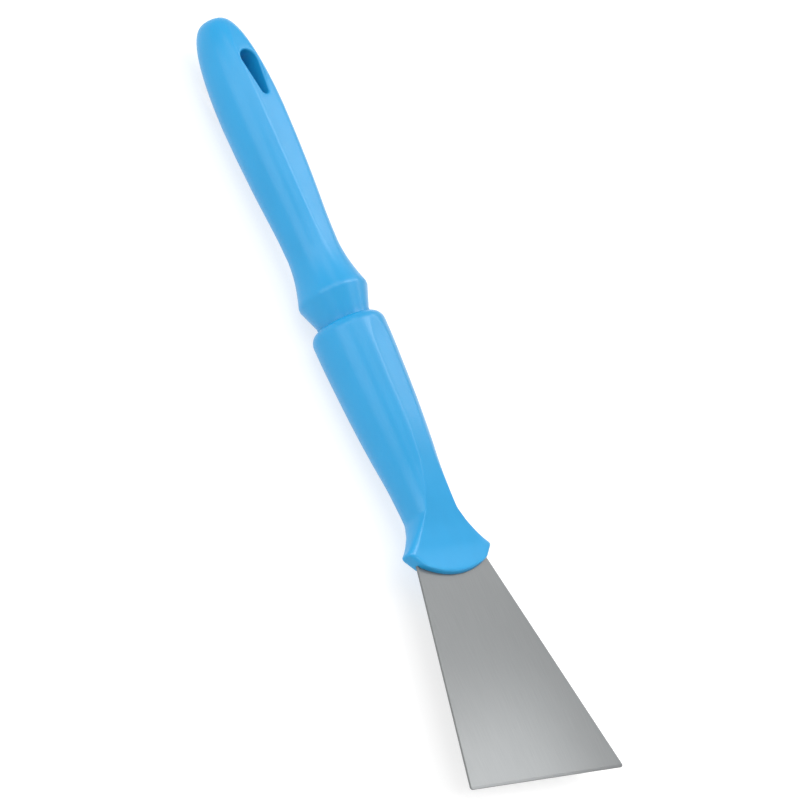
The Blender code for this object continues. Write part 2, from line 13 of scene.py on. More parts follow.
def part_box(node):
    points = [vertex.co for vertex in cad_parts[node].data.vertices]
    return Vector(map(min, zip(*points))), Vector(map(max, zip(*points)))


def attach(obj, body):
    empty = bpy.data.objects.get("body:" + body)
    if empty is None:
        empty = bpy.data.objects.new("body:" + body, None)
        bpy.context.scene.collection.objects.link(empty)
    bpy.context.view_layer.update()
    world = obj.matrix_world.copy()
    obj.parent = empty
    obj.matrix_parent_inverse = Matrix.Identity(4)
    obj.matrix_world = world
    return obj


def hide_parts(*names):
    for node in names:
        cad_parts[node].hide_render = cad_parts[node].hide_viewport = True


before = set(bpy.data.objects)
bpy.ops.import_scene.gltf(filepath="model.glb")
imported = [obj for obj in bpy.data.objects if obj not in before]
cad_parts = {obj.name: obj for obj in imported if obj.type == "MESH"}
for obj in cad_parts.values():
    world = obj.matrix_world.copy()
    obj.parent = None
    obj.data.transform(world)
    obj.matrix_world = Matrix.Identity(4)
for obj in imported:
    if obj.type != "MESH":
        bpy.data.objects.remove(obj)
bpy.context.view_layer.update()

# What the frame gives
BLADE_LOW, BLADE_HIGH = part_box("blade")
HANDLE_LOW, HANDLE_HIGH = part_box("scraper_handle")
GRIP_LOW, GRIP_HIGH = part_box("grip_handle")
MOUTH = Vector((HANDLE_LOW.x, 0, (HANDLE_LOW.z + HANDLE_HIGH.z) / 2))
HANDLE_LENGTH = HANDLE_HIGH.x - HANDLE_LOW.x
SHOULDER_RADIUS = (HANDLE_HIGH.z - HANDLE_LOW.z) / 2
GRIP_LENGTH = MOUTH.x - GRIP_LOW.x
SPIGOT_LENGTH = GRIP_HIGH.x - MOUTH.x
EDGE_PLACE = BLADE_HIGH.x - MOUTH.x
BLADE_THICKNESS = BLADE_HIGH.z - BLADE_LOW.z

# Blade
BLADE_EDGE_WIDTH = 0.1000
BLADE_NECK_WIDTH = 0.0483
BLADE_ROOT_DEPTH = 0.0110
BLADE_CORNER_RADIUS = 0.0010
BLADE_ARRIS = 0.00012
ARRIS_ANGLE = math.radians(35.0)
BLADE_SHARP_ANGLE = math.radians(12.0)
GRIND_LENGTH = 0.0012
GRIND_DEPTH = 0.00035
TANG_SIDE_WALL = 0.00245
TANG_LENGTH = 0.0450
TANG_CORNER_RADIUS = 0.0040
TANG_ROOT_RADIUS = 0.0020
TANG_HOLE_RADIUS = 0.0036
TANG_HOLE_INSET = 0.0110
TANG_HOLE_SPACING = 0.0200
TANG_GAP = 0.00006

# Handle
SHOULDER_ROUND_LENGTH = 0.0050
MOUTH_LIP_WIDTH = 0.0004
WAIST_RADIUS = 0.01245
FLARE_LENGTH = 0.0350
TIP_HALF_WIDTH = 0.0277
TIP_HEIGHT = 0.0117
TIP_ROUND_REACH = 0.0010
FLARE_CORNER_HALF_WIDTH = 0.0214
FLARE_CORNER_HEIGHT = 0.0054
FLARE_ROUND_DEPTH = 0.0042
FLARE_FACET_HEIGHT = 0.0030
FLARE_EDGE_ROUND = 0.0018
BOW_START = 0.0980
CREASE_REACH = 0.0005
MOULDING_SHARP_ANGLE = math.radians(40.0)

# Grip
BELLY_RADIUS = 0.01475
BELLY_INSET = 0.0492
GRIP_WAIST_RADIUS = 0.0121
GRIP_WAIST_PLACE = 0.0370
RIM_RADIUS = 0.01625
RIM_PLACE = 0.0146
RIM_THICKNESS = 0.0016
NECK_RADIUS = 0.0126
NECK_PLACE = 0.0030
GRIP_FLAT_DEPTH = 0.00133

# Hanging slot
SLOT_INSET = 0.0250
SLOT_LENGTH = 0.0157
SLOT_WIDE_RADIUS = 0.0049
SLOT_NARROW_RADIUS = 0.0023
SLOT_EDGE_RADIUS = 0.0010
SLOT_EDGE_LIFT = 0.00004

# Screw joint
THREAD_PITCH = 0.0050
THREAD_ROOT_RADIUS = 0.0090
THREAD_HEIGHT = 0.0016
THREAD_CREST_WIDTH = 0.0012
THREAD_CREST_ROUND = 0.0002
THREAD_FLANK_WIDTH = 0.0008
THREAD_START = 0.0050
THREAD_END_INSET = 0.0023
THREAD_RUNOUT = 0.0028
SEAT_DEPTH = 0.0030
SPIGOT_CHAMFER = 0.0008
SOCKET_DEPTH = 0.0302
HANDLE_CORE_RADIUS = 0.0060
HANDLE_CORE_WALL = 0.0128
GRIP_CORE_RADIUS = 0.0056
GRIP_CORE_WALL = 0.0157
CORE_DRAFT = 0.0008
SEAT_GAP = 0.0003
RUNNING_GAP = 0.00035
CUT_OVERRUN = 0.0020

# Shares of a stretch (first) and of the change over it (second)
HANDLE_TAPER_SHARES = ((0, 0), (0.12, 0.01), (0.3, 0.12), (0.5, 0.3), (0.7, 0.58), (0.87, 0.88), (1, 1))
FLARE_WIDTH_SHARES = ((0, 0), (0.22, 0.02), (0.46, 0.22), (0.675, 0.48), (0.868, 0.76), (1, 1))
FLARE_DEPTH_SHARES = ((0, 0), (0.18, 0.055), (0.38, 0.47), (0.54, 0.76), (0.66, 0.9), (1, 1))
GRIP_TAPER_SHARES = ((0, 0), (0.17, 0.07), (0.33, 0.2), (0.5, 0.38), (0.67, 0.64), (0.84, 0.9), (1, 1))
HANDLE_FACET_SHARES = (
    (0.04, 0), (0.09, 0.04), (0.16, 0.07), (0.26, 0.11), (0.36, 0.147), (0.43, 0.18), (0.49, 0.228),
    (0.57, 0.313), (0.65, 0.43), (0.715, 0.55), (0.77, 0.686), (0.825, 0.815), (0.87, 0.887),
    (0.905, 0.937), (1, 1),
)
SQUARENESS_SHARES = ((0.7, 0), (0.77, 0.1), (0.905, 1.5), (1, 1.5))
GRIP_FLAT_SHARES = (
    (0.17, 0), (0.24, 0.26), (0.33, 0.53), (0.49, 0.84), (0.7, 1), (0.855, 0.86), (0.905, 0.53), (0.96, 0),
)
LEAST_CREASE_SHARE = 0.22
CREASE_SOFT_SHARE = 0.35
TIP_CAP_SHARE = 0.06
ROUND_POWER = 2
DOME_POWER = 0.3
EDGE_POWER = 2.6
RIM_SWEEP_POWER = 1.8
CROWDING_POWER = 1.6
THREAD_SINK_SHARE = 0.25
THREAD_END_SHARE = 0.1
ROW_OFFSET_SHARE = 0.25

# Counts
SIDE_STEPS = 24
FLAT_STEPS = 14
SHOULDER_STEPS = 14
TAPER_STEPS = 40
FLARE_STEPS = 30
TIP_STEPS = 8
CORNER_STEPS = 6
EDGE_STEPS = 10
DOME_STEPS = 22
GRIP_TAPER_STEPS = 30
RIM_STEPS = 16
ARC_STEPS = 12
ROUND_STEPS = 96
THREAD_FADE_STEPS = 28
ARRIS_STEPS = 2
FLOOR_CELLS = 8

# Worked out from the values above
WAIST_PLACE = HANDLE_LENGTH - FLARE_LENGTH
TIP_PLACE = HANDLE_LENGTH - TIP_HEIGHT
FLARE_CORNER_PLACE = HANDLE_LENGTH - FLARE_CORNER_HEIGHT
ROOT_PLACE = HANDLE_LENGTH - BLADE_ROOT_DEPTH
TANG_END_PLACE = ROOT_PLACE - TANG_LENGTH
TANG_HALF_WIDTH = WAIST_RADIUS - TANG_SIDE_WALL
BELLY_PLACE = GRIP_LENGTH - BELLY_INSET
SLOT_WIDE_PLACE = GRIP_LENGTH - SLOT_INSET
SLOT_NARROW_PLACE = SLOT_WIDE_PLACE - SLOT_LENGTH
CONE_PLACE = RIM_PLACE - RIM_THICKNESS
THREAD_END = SPIGOT_LENGTH - THREAD_END_INSET
SPIGOT_END_RADIUS = THREAD_ROOT_RADIUS - SPIGOT_CHAMFER
SEAT_RADIUS = NECK_RADIUS + RUNNING_GAP
MERGE_DISTANCE = SEAT_GAP / 100

# Camera, fitted to the photograph
PICTURE_SIDE = 800
PIXELS_PER_METRE = 2259.0
VIEW_DIRECTION = Vector((0.2500, -0.7340, 0.6315))
VIEW_RIGHT = Vector((0.3936, 0.6729, 0.6263))
CENTRE_RIGHT = 0.0242
CENTRE_UP = -0.0335
CAMERA_DISTANCE = 12.0
CLIP_DISTANCE = 120.0
SENSOR_MILLIMETRES = 36.0

# Studio
FLOOR_SIDE = 16.0
FLOOR_GLOW = 0.68
SOFTBOX_DISTANCE = 1.4
# Softboxes round the tool: name, azimuth and elevation in degrees, side and power.
SOFTBOXES = (
    ("key", 305.0, 58.0, 0.9, 4.6),
    ("back", 222.0, 64.0, 0.6, 5.9),
    ("fill", 338.0, 25.0, 0.9, 4.9),
)
# Small lights over the blade: name, place and aim from its middle, side, beam in degrees and power.
BLADE_LIGHTS = (
    ("sheen", Vector((0.080, 0.060, 0.200)), Vector((0.045, -0.015, 0.0)), 0.14, 60.0, 0.05),
    ("glow", Vector((0.020, 0.082, 0.114)), Vector((0.065, -0.050, 0.0)), 0.08, 70.0, 0.007),
)
STRIP_OFFSET = Vector((-0.160, 0.440, 0.380))
STRIP_LENGTH = 0.30
STRIP_HEIGHT = 0.12
STRIP_POWER = 0.42
WORLD_STRENGTH = 0.78
WHITE = (1.0, 1.0, 1.0, 1.0)

# Textures: the stretch along x, y and z, the scale per metre and the detail
PLASTIC_FLOW = ((1.0, 2.2, 2.2), 38.0, 3.0)
PLASTIC_GLOSS = ((1.0, 1.0, 1.0), 160.0, 4.0)
PLASTIC_GRAIN = ((1.0, 1.0, 1.0), 2600.0, 1.0)
PLASTIC_RIPPLE = ((0.4, 1.0, 1.0), 420.0, 2.0)
STEEL_CLOUD = ((1.0, 2.0, 2.0), 30.0, 4.0)
STEEL_GRAIN = ((0.02, 1.0, 1.0), 3600.0, 3.0)
PLUG_FLOW = ((1.0, 1.0, 1.0), 260.0, 3.0)
PLUG_GRAIN = ((1.0, 1.0, 1.0), 5200.0, 2.0)
FLOOR_CLOUD = ((1.0, 1.0, 1.0), 3.0, 2.0)
TEXTURE_LOW = 0.25
TEXTURE_HIGH = 0.75
FULL_RANGE = (0.0, 1.0)

# Finishes: the two colours and the two roughnesses that a surface varies between, and its bump
PLASTIC_COLOURS = ((0.007, 0.271, 0.553), (0.009, 0.291, 0.592))
PLASTIC_ROUGHNESS = (0.29, 0.35)
PLASTIC_BUMP = 0.07
PLASTIC_BUMP_DEPTH = 0.00003
PLASTIC_SPECULAR = 0.5
PLASTIC_SCATTER_WEIGHT = 0.06
PLASTIC_SCATTER_RADIUS = (0.2, 0.6, 1.0)
PLASTIC_SCATTER_DEPTH = 0.0015
STEEL_COLOURS = ((0.177, 0.184, 0.187), (0.213, 0.220, 0.221))
STEEL_TONES = (0.2, 0.8)
STEEL_ROUGHNESS = (0.40, 0.47)
STEEL_BUMP = 0.22
STEEL_BUMP_DEPTH = 0.00002
PLUG_COLOURS = ((0.29, 0.31, 0.33), (0.34, 0.36, 0.38))
PLUG_ROUGHNESS = 0.5
PLUG_BUMP = 0.15
PLUG_BUMP_DEPTH = 0.00003
FLOOR_COLOURS = ((0.39, 0.39, 0.39), (0.41, 0.41, 0.41))
FLOOR_ROUGHNESS = 0.9
FLOOR_SPECULAR = 0.1


def blend(start, end, share):
    return start + (end - start) * share


def spread(start, end, steps):
    return [blend(start, end, i / steps) for i in range(steps + 1)]


def eased(share):
    """A share that starts and ends gently."""
    return (3 - 2 * share) * share * share


def curve_tangents(widths, slopes):
    """The slope at each point of a smooth curve that rises and falls only where its points do."""
    tangents = [slopes[0]]
    for i in range(1, len(slopes)):
        if slopes[i - 1] * slopes[i] <= 0:
            tangents.append(0.0)
            continue
        near = 2 * widths[i] + widths[i - 1]
        far = widths[i] + 2 * widths[i - 1]
        tangents.append((near + far) / (near / slopes[i - 1] + far / slopes[i]))
    return tangents + [slopes[-1]]


def smooth_value(points, place):
    """The value at a place on a smooth curve through (place, value) points."""
    if place <= points[0][0]:
        return points[0][1]
    if place >= points[-1][0]:
        return points[-1][1]
    widths = [far[0] - near[0] for near, far in zip(points, points[1:])]
    slopes = [(far[1] - near[1]) / width for near, far, width in zip(points, points[1:], widths)]
    tangents = curve_tangents(widths, slopes)
    i = max(k for k in range(len(slopes)) if points[k][0] <= place)
    t = (place - points[i][0]) / widths[i]
    value = blend(points[i][1], points[i + 1][1], eased(t))
    value += t * (1 - t) ** 2 * widths[i] * tangents[i]
    value += t * t * (t - 1) * widths[i] * tangents[i + 1]
    return value


def soft_least(a, b, reach):
    """The lesser of two heights, with the crease between them rounded over a reach."""
    if reach <= 0:
        return min(a, b)
    overlap = max(0.0, reach - abs(a - b)) / reach
    return min(a, b) - overlap * overlap * reach / 4


def rounded_height(share, half_depth, power):
    """How high the rounded form stands at a share of its half width."""
    return half_depth * (1 - min(1.0, abs(share)) ** power) ** (1 / power)


def width_shares(half_depth, facet_height, power):
    """Shares of the half width at which a section's front has points, crowded towards its two creases."""
    cut_share = min(1.0, facet_height / half_depth)
    crease = max(LEAST_CREASE_SHARE, (1 - cut_share ** power) ** (1 / power))
    crease_angle = math.atan2((1 - crease ** power) ** (1 / power), crease)
    side = []
    for step in spread(1.0, 0.0, SIDE_STEPS):
        angle = crease_angle * (1 - step ** CROWDING_POWER)
        reach = (math.cos(angle) ** power + math.sin(angle) ** power) ** (-1 / power)
        side.append(reach * math.cos(angle))
    flat = [crease * math.cos(angle) for angle in spread(0.0, math.pi, FLAT_STEPS)[1:-1]]
    return side + flat + [-share for share in reversed(side)]


def front_height(share, half_depth, facet_height, power):
    """The height of the front over the middle plane, with the crease at the facet's edge rounded."""
    soft = min(CREASE_REACH, CREASE_SOFT_SHARE * (half_depth - facet_height))
    return soft_least(rounded_height(share, half_depth, power), facet_height, soft)


def both_sides(front):
    """A closed ring from the points of its front, which start and end on the middle plane."""
    return front + [(x, y, -z) for x, y, z in front[-2:0:-1]]


def section(place, radius, facet_height):
    """A closed ring square to the axis: round, with a flat at its front and one at its back."""
    front = []
    for share in width_shares(radius, facet_height, ROUND_POWER):
        front.append((place, radius * share, front_height(share, radius, facet_height, ROUND_POWER)))
    return both_sides(front)


def finish_mesh(name, mesh):
    bmesh.ops.recalc_face_normals(mesh, faces=mesh.faces[:])
    data = bpy.data.meshes.new(name)
    mesh.to_mesh(data)
    mesh.free()
    obj = bpy.data.objects.new(name, data)
    bpy.context.scene.collection.objects.link(obj)
    return obj


def skin(name, rings, tip=None, shut=False):
    """A closed skin over rings of points. The first may run to a tip, and the last may be folded shut."""
    mesh = bmesh.new()
    loops = [[mesh.verts.new(point) for point in ring] for ring in rings]
    count = len(loops[0])
    for near, far in zip(loops, loops[1:]):
        for i in range(count):
            j = (i + 1) % count
            mesh.faces.new((near[i], near[j], far[j], far[i]))
    if tip is None:
        mesh.faces.new(loops[0])
    else:
        point = mesh.verts.new(tip)
        for i in range(count):
            mesh.faces.new((loops[0][i], loops[0][(i + 1) % count], point))
    if shut:
        bmesh.ops.remove_doubles(mesh, verts=loops[-1], dist=MERGE_DISTANCE)
    else:
        mesh.faces.new(loops[-1])
    return finish_mesh(name, mesh)


def circle(radius):
    angles = [2 * math.pi * i / ROUND_STEPS for i in range(ROUND_STEPS)]
    return [(radius * math.cos(angle), radius * math.sin(angle)) for angle in angles]


def turned(name, profile):
    """A solid turned about the tool's axis from (place, radius) points that start and end on the axis."""
    mesh = bmesh.new()
    loops = []
    for place, radius in profile:
        if radius == 0:
            loops.append([mesh.verts.new((place, 0, 0))])
        else:
            loops.append([mesh.verts.new((place, y, z)) for y, z in circle(radius)])
    for near, far in zip(loops, loops[1:]):
        for i in range(ROUND_STEPS):
            j = (i + 1) % ROUND_STEPS
            corners = [near[i % len(near)], near[j % len(near)], far[j % len(far)], far[i % len(far)]]
            mesh.faces.new(list(dict.fromkeys(corners)))
    return finish_mesh(name, mesh)


def prism(name, outline, low, high):
    """An (x, y) outline made solid from one height to another."""
    return skin(name, [[(x, y, z) for x, y in outline] for z in (low, high)])


def rounded_outline(corners):
    """An outline through (x, y, radius) corners, each rounded with an arc of its radius."""
    points = []
    for i, (x, y, radius) in enumerate(corners):
        if radius == 0:
            points.append((x, y))
            continue
        before = corners[i - 1]
        after = corners[(i + 1) % len(corners)]
        to_before = math.atan2(before[1] - y, before[0] - x)
        to_after = math.atan2(after[1] - y, after[0] - x)
        opening = (to_after - to_before + math.pi) % (2 * math.pi) - math.pi
        middle = to_before + opening / 2
        reach = radius / abs(math.sin(opening / 2))
        centre_x = x + reach * math.cos(middle)
        centre_y = y + reach * math.sin(middle)
        half_swing = math.copysign(math.pi - abs(opening), opening) / 2
        for swing in spread(half_swing, -half_swing, ARC_STEPS):
            angle = middle + math.pi + swing
            points.append((centre_x + radius * math.cos(angle), centre_y + radius * math.sin(angle)))
    return points


def combine(obj, other, operation):
    """Cut obj by other or join them. The other is then gone."""
    modifier = obj.modifiers.new(operation.title(), "BOOLEAN")
    modifier.operation = operation
    modifier.solver = "EXACT"
    modifier.object = other
    graph = bpy.context.evaluated_depsgraph_get()
    result = bpy.data.meshes.new_from_object(obj.evaluated_get(graph))
    obj.modifiers.clear()
    obj.data = result
    bpy.data.objects.remove(other, do_unlink=True)


def dress(obj, body, node, material, sharp_angle):
    """Place a piece at the mouth, shade it, and let it ride on its body in place of its node."""
    obj.data.materials.clear()
    obj.data.materials.append(material)
    obj.data.shade_smooth()
    obj.data.set_sharp_from_angle(angle=sharp_angle)
    obj.matrix_world = Matrix.Translation(MOUTH)
    bpy.context.view_layer.update()
    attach(obj, body)
    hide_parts(node)


def blade_half_width(place):
    slope = (BLADE_EDGE_WIDTH - BLADE_NECK_WIDTH) / 2 / (EDGE_PLACE - HANDLE_LENGTH)
    return BLADE_NECK_WIDTH / 2 + slope * (place - HANDLE_LENGTH)


def blade_outline(end, end_radius, gap):
    """The blade and its tang in plan, up to a place, with a gap added all round."""
    root = ROOT_PLACE - gap
    tang_end = TANG_END_PLACE - gap
    tang_side = TANG_HALF_WIDTH + gap
    half = [
        (end, blade_half_width(end) + gap, end_radius),
        (root, blade_half_width(root) + gap, TANG_ROOT_RADIUS + gap),
        (root, tang_side, TANG_ROOT_RADIUS - gap),
        (tang_end, tang_side, TANG_CORNER_RADIUS + gap),
    ]
    return rounded_outline(half + [(x, -y, radius) for x, y, radius in reversed(half)])


def tang_hole_places():
    first = TANG_END_PLACE + TANG_HOLE_INSET
    return first, first + TANG_HOLE_SPACING


def upright_rod(name, place, radius):
    """A rod along Z through the tool's axis, long enough to cross the tang and its cavity."""
    outline = [(place + x, y) for x, y in circle(radius)]
    return prism(name, outline, -CUT_OVERRUN, CUT_OVERRUN)


def grind_cut(side):
    """What the grinding takes off along the edge, from the front face (1) or the back (-1)."""
    face = BLADE_THICKNESS / 2
    extra_depth = GRIND_DEPTH / GRIND_LENGTH * CUT_OVERRUN
    half = BLADE_EDGE_WIDTH / 2 + CUT_OVERRUN
    wedge = [
        (EDGE_PLACE - GRIND_LENGTH, face),
        (EDGE_PLACE + CUT_OVERRUN, face - GRIND_DEPTH - extra_depth),
        (EDGE_PLACE + CUT_OVERRUN, face + CUT_OVERRUN),
        (EDGE_PLACE - GRIND_LENGTH, face + CUT_OVERRUN),
    ]
    return skin("grind", [[(x, y, side * z) for x, z in wedge] for y in (-half, half)])


def make_blade(steel):
    outline = blade_outline(EDGE_PLACE, BLADE_CORNER_RADIUS, 0.0)
    blade = prism("blade_sheet", outline, -BLADE_THICKNESS / 2, BLADE_THICKNESS / 2)
    for place in tang_hole_places():
        combine(blade, upright_rod("tang_hole", place, TANG_HOLE_RADIUS), "DIFFERENCE")
    for side in (1, -1):
        combine(blade, grind_cut(side), "DIFFERENCE")
    arris = blade.modifiers.new("Arris", "BEVEL")
    arris.width = BLADE_ARRIS
    arris.segments = ARRIS_STEPS
    arris.limit_method = "ANGLE"
    arris.angle_limit = ARRIS_ANGLE
    dress(blade, "scraper", "blade", steel, BLADE_SHARP_ANGLE)


def domed_end(end, radius, direction):
    """Points of a round end to a bore, which runs along the tool (1) or back (-1)."""
    points = []
    for angle in spread(0.0, math.pi / 2, ARC_STEPS)[:-1]:
        points.append((end - direction * radius * (1 - math.sin(angle)), radius * math.cos(angle)))
    return points + [(end, 0)]


def thread_row(turn, rise_share, gap):
    """One section across the ridge, in the plane through the axis that the turn has reached."""
    foot_radius = THREAD_ROOT_RADIUS + gap - THREAD_HEIGHT * THREAD_SINK_SHARE
    crest_radius = foot_radius + THREAD_HEIGHT * (1 + THREAD_SINK_SHARE) * rise_share
    crest_half = THREAD_CREST_WIDTH / 2 + gap
    foot_half = crest_half + THREAD_FLANK_WIDTH * (1 + THREAD_SINK_SHARE)
    crest_round = THREAD_CREST_ROUND * rise_share
    half = [
        (foot_half, foot_radius),
        (crest_half + crest_round / 2, crest_radius - crest_round),
        (crest_half - crest_round, crest_radius),
    ]
    profile = [(-along, r) for along, r in half] + list(reversed(half))
    angle = 2 * math.pi * turn
    middle = THREAD_PITCH * turn
    return [(middle + along, r * math.cos(angle), r * math.sin(angle)) for along, r in profile]


def thread_ridge(name, start, end, gap):
    """A right-hand helical ridge between two places, which rises out of the root and sinks back into it."""
    first = math.ceil(start / THREAD_PITCH * ROUND_STEPS)
    last = math.floor(end / THREAD_PITCH * ROUND_STEPS)
    rings = []
    for k in range(first, last + 1):
        fade_share = min(1.0, min(k - first, last - k) / THREAD_FADE_STEPS)
        rise_share = max(THREAD_END_SHARE, fade_share)
        rings.append(thread_row((k + ROW_OFFSET_SHARE) / ROUND_STEPS, rise_share, gap))
    return skin(name, rings)


def sharp_handle_half_width(place):
    """The handle's outline in plan, as far as the flare's lower corners, with its tips left sharp."""
    if place <= SHOULDER_ROUND_LENGTH:
        rise = 1 - place / SHOULDER_ROUND_LENGTH
        mouth_radius = SEAT_RADIUS + MOUTH_LIP_WIDTH
        return blend(mouth_radius, SHOULDER_RADIUS, math.sqrt(1 - rise ** 2))
    if place <= WAIST_PLACE:
        return blend(SHOULDER_RADIUS, WAIST_RADIUS, smooth_value(HANDLE_TAPER_SHARES, place / WAIST_PLACE))
    if place <= TIP_PLACE:
        share = (place - WAIST_PLACE) / (TIP_PLACE - WAIST_PLACE)
        return blend(WAIST_RADIUS, TIP_HALF_WIDTH, smooth_value(FLARE_WIDTH_SHARES, share))
    share = (place - TIP_PLACE) / (FLARE_CORNER_PLACE - TIP_PLACE)
    return blend(TIP_HALF_WIDTH, FLARE_CORNER_HALF_WIDTH, share)


def handle_half_width(place):
    """The handle's outline in plan, with the flare's tips rounded."""
    if abs(place - TIP_PLACE) >= TIP_ROUND_REACH:
        return sharp_handle_half_width(place)
    before = sharp_handle_half_width(TIP_PLACE - TIP_ROUND_REACH)
    after = sharp_handle_half_width(TIP_PLACE + TIP_ROUND_REACH)
    share = (place - TIP_PLACE + TIP_ROUND_REACH) / (2 * TIP_ROUND_REACH)
    return blend(blend(before, TIP_HALF_WIDTH, share), blend(TIP_HALF_WIDTH, after, share), share)


def handle_half_depth(place):
    if place <= WAIST_PLACE:
        return handle_half_width(place)
    share = (place - WAIST_PLACE) / (HANDLE_LENGTH - WAIST_PLACE)
    return blend(WAIST_RADIUS, FLARE_ROUND_DEPTH, smooth_value(FLARE_DEPTH_SHARES, share))


def handle_facet_height(place):
    share = smooth_value(HANDLE_FACET_SHARES, place / HANDLE_LENGTH)
    return blend(SHOULDER_RADIUS, FLARE_FACET_HEIGHT, share)


def handle_bow(place):
    """How far the middle of a section runs ahead of its ends, which meet the outline at a place."""
    share = min(1.0, max(0.0, (place - BOW_START) / (FLARE_CORNER_PLACE - BOW_START)))
    return FLARE_CORNER_HEIGHT * eased(share)


def bow_share(width_share):
    """How much of the bow a point loses, so that the last section lies on the flare's bottom arc."""
    radius = (FLARE_CORNER_HALF_WIDTH ** 2 + FLARE_CORNER_HEIGHT ** 2) / (2 * FLARE_CORNER_HEIGHT)
    across = FLARE_CORNER_HALF_WIDTH * width_share
    return (radius - math.sqrt(radius ** 2 - across ** 2)) / FLARE_CORNER_HEIGHT


def handle_ring(place, height_share):
    """A section of the handle whose ends meet the outline at a place. The flare's sections are bowed."""
    half_width = handle_half_width(place)
    bow = handle_bow(place)
    middle = place + bow
    power = ROUND_POWER + smooth_value(SQUARENESS_SHARES, middle / HANDLE_LENGTH)
    front = []
    for share in width_shares(handle_half_depth(middle), handle_facet_height(middle), power):
        x = middle - bow * bow_share(share)
        depth = handle_half_depth(x)
        local_power = ROUND_POWER + smooth_value(SQUARENESS_SHARES, x / HANDLE_LENGTH)
        height = front_height(share, depth, min(depth, handle_facet_height(x)), local_power)
        front.append((x, half_width * share, height * height_share))
    return both_sides(front)


def edge_start():
    """Where the rounding of the flare's bottom edge begins on the outline."""
    low = TIP_PLACE
    high = FLARE_CORNER_PLACE
    for _ in range(SIDE_STEPS):
        middle = (low + high) / 2
        if middle + handle_bow(middle) < HANDLE_LENGTH - FLARE_EDGE_ROUND:
            low = middle
        else:
            high = middle
    return low


def handle_rings():
    shoulder = [SHOULDER_ROUND_LENGTH * (1 - math.cos(a)) for a in spread(0.0, math.pi / 2, SHOULDER_STEPS)]
    taper = spread(SHOULDER_ROUND_LENGTH, WAIST_PLACE, TAPER_STEPS)
    flare = spread(WAIST_PLACE, TIP_PLACE - TIP_ROUND_REACH, FLARE_STEPS)
    tip = spread(TIP_PLACE - TIP_ROUND_REACH, TIP_PLACE + TIP_ROUND_REACH, TIP_STEPS)
    round_start = edge_start()
    corner = spread(TIP_PLACE + TIP_ROUND_REACH, round_start, CORNER_STEPS)
    rings = [handle_ring(place, 1.0) for place in shoulder + taper[1:] + flare[1:] + tip[1:] + corner[1:]]
    for angle in spread(0.0, math.pi / 2, EDGE_STEPS)[1:]:
        reach_share = math.sin(angle) ** (2 / EDGE_POWER)
        height_share = math.cos(angle) ** (2 / EDGE_POWER) if angle < math.pi / 2 else 0.0
        rings.append(handle_ring(blend(round_start, FLARE_CORNER_PLACE, reach_share), height_share))
    return rings


def socket_cut():
    """The seat for the grip's neck, the bore inside the thread, and the blind core below it."""
    bore_radius = THREAD_ROOT_RADIUS + RUNNING_GAP
    mouth_chamfer = THREAD_HEIGHT + RUNNING_GAP
    profile = [
        (-CUT_OVERRUN, 0),
        (-CUT_OVERRUN, SEAT_RADIUS),
        (SEAT_DEPTH, SEAT_RADIUS),
        (SEAT_DEPTH, bore_radius + mouth_chamfer),
        (SEAT_DEPTH + mouth_chamfer, bore_radius),
        (SOCKET_DEPTH, bore_radius),
        (SOCKET_DEPTH, HANDLE_CORE_RADIUS),
    ]
    core_end = TANG_END_PLACE - HANDLE_CORE_WALL
    return turned("socket", profile + domed_end(core_end, HANDLE_CORE_RADIUS - CORE_DRAFT, 1))


def tang_cavity():
    """The pocket for the blade's root and tang, with a peg left standing for each hole of the tang."""
    half = BLADE_THICKNESS / 2 + TANG_GAP
    outline = blade_outline(HANDLE_LENGTH + CUT_OVERRUN, 0, TANG_GAP)
    cavity = prism("tang_cavity", outline, -half, half)
    for place in tang_hole_places():
        combine(cavity, upright_rod("peg", place, TANG_HOLE_RADIUS - TANG_GAP), "DIFFERENCE")
    return cavity


def make_handle(plastic):
    handle = skin("handle_moulding", handle_rings(), shut=True)
    combine(handle, socket_cut(), "DIFFERENCE")
    groove = thread_ridge("groove", SEAT_DEPTH - THREAD_PITCH, THREAD_END + THREAD_RUNOUT, RUNNING_GAP)
    combine(handle, groove, "DIFFERENCE")
    combine(handle, tang_cavity(), "DIFFERENCE")
    dress(handle, "scraper", "scraper_handle", plastic, MOULDING_SHARP_ANGLE)


def grip_radius(place):
    if place >= BELLY_PLACE:
        share = (place - BELLY_PLACE) / (GRIP_LENGTH - BELLY_PLACE)
        return BELLY_RADIUS * (1 - share ** 2) ** DOME_POWER
    if place >= GRIP_WAIST_PLACE:
        share = (BELLY_PLACE - place) / (BELLY_PLACE - GRIP_WAIST_PLACE)
        return blend(BELLY_RADIUS, GRIP_WAIST_RADIUS, smooth_value(GRIP_TAPER_SHARES, share))
    if place >= RIM_PLACE:
        share = (GRIP_WAIST_PLACE - place) / (GRIP_WAIST_PLACE - RIM_PLACE)
        return blend(GRIP_WAIST_RADIUS, RIM_RADIUS, share ** RIM_SWEEP_POWER)
    if place >= CONE_PLACE:
        return RIM_RADIUS
    if place >= NECK_PLACE:
        return blend(RIM_RADIUS, NECK_RADIUS, (CONE_PLACE - place) / (CONE_PLACE - NECK_PLACE))
    return NECK_RADIUS


def grip_facet_height(place):
    return grip_radius(place) - GRIP_FLAT_DEPTH * smooth_value(GRIP_FLAT_SHARES, place / GRIP_LENGTH)


